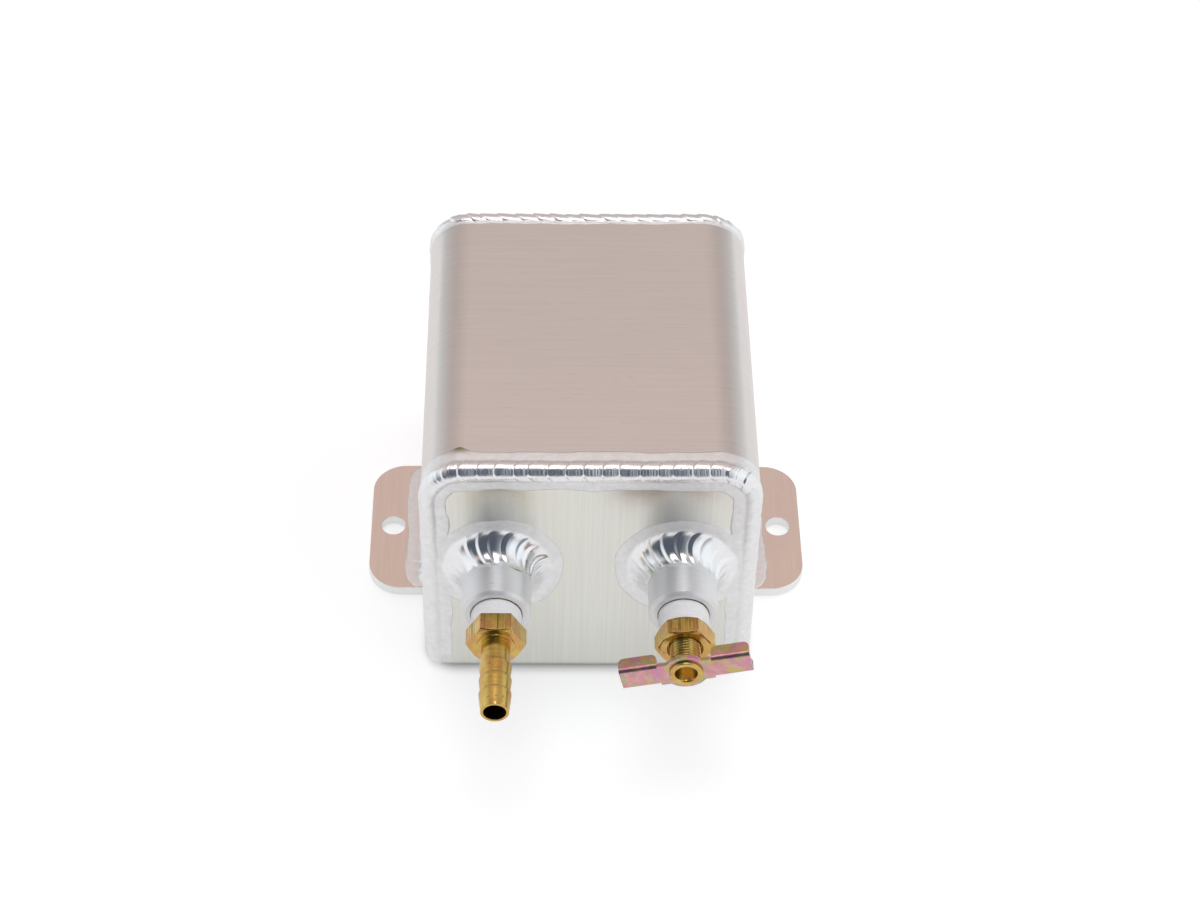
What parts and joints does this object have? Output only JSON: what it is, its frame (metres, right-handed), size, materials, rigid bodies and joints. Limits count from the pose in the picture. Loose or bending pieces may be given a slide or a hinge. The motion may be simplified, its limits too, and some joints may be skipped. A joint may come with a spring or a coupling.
{
  "type": "transmission expansion tank",
  "caption": "Welded sheet aluminium expansion tank for an automatic transmission, with mounting tabs, a brass hose barb and a drain petcock with a wing handle.",
  "frame": {"origin": "on the back plane, midway between the two mounting tab holes", "axes": "+Z out of the front face, away from the surface it is bolted to; +Y from the end with the fittings to the plain end; +X to the drain petcock's side"},
  "size_m": [0.1296, 0.1563, 0.0835],
  "materials": {
    "brushed_sheet": "brushed sheet aluminium, fine straight grain",
    "weld_metal": "bright rippled weld metal with frosted edges",
    "turned_aluminium": "fine turned aluminium",
    "tab_plate": "mill finish aluminium plate",
    "brass": "turned brass with light tarnish",
    "thread_tape": "white thread seal tape",
    "zinc_plate": "yellow passivated zinc plate with pink and green tints"
  },
  "bodies": {
    "tank": {"front_shell": "brushed_sheet", "back_channel": "brushed_sheet", "port_end_weld": "weld_metal", "plain_end_weld": "weld_metal", "left_long_weld": "weld_metal", "right_long_weld": "weld_metal", "inlet_bung": "turned_aluminium", "drain_bung": "turned_aluminium", "inlet_bung_weld": "weld_metal", "drain_bung_weld": "weld_metal", "left_mount_tab": "tab_plate", "right_mount_tab": "tab_plate", "left_tab_weld": "weld_metal", "right_tab_weld": "weld_metal", "hose_barb": "brass", "barb_thread_tape": "thread_tape", "petcock_body": "brass", "petcock_thread_tape": "thread_tape"},
    "stem": {"petcock_stem": "brass"},
    "handle": {"wing_handle": "zinc_plate"}
  },
  "joints": [
    {"name": "stem_travel", "type": "slide", "parent": "tank", "child": "stem", "axis": [0, -1, 0], "range_m": [0, 0.0016]},
    {"name": "handle_turn", "type": "hinge", "parent": "stem", "child": "handle", "pos_m": [0.0256, -0.08915, 0.0445], "axis": [0, -1, 0], "range_deg": [0, 630]}
  ],
  "couplings": [
    {"joint": "stem_travel", "follows": "handle_turn", "m_per_rad": 0.00014324}
  ]
}
